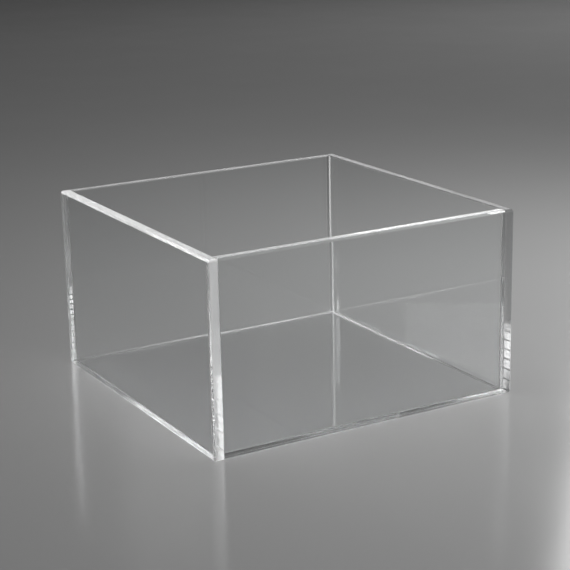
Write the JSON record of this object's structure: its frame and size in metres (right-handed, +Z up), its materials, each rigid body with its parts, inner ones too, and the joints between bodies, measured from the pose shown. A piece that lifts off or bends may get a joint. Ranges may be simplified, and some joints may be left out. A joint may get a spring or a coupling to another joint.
{
  "type": "acrylic display cube",
  "caption": "Open-top clear acrylic display box: sheet walls cemented edge to edge round a thin base, with bevelled, polished rim and corners. Stands flat and shows what is put inside.",
  "frame": {"origin": "centre of the square footprint, on the surface the box stands on", "axes": "+Z up; -Y is the front; the left and right walls, at -X and +X, run the full depth and the front and back walls fit between them"},
  "size_m": [0.2032, 0.2032, 0.1143],
  "materials": {
    "clear_acrylic": "water-clear cast acrylic sheet, flame-polished faces and bevels",
    "acrylic_cement": "cured clear acrylic cement, very slightly cloudy"
  },
  "bodies": {
    "root": {"left_wall": "clear_acrylic", "right_wall": "clear_acrylic", "front_wall": "clear_acrylic", "back_wall": "clear_acrylic", "base_panel": "clear_acrylic", "corner_seam_front_left": "acrylic_cement", "corner_seam_front_right": "acrylic_cement", "corner_seam_back_left": "acrylic_cement", "corner_seam_back_right": "acrylic_cement", "base_seam_front": "acrylic_cement", "base_seam_back": "acrylic_cement", "base_seam_left": "acrylic_cement", "base_seam_right": "acrylic_cement"}
  },
  "joints": []
}
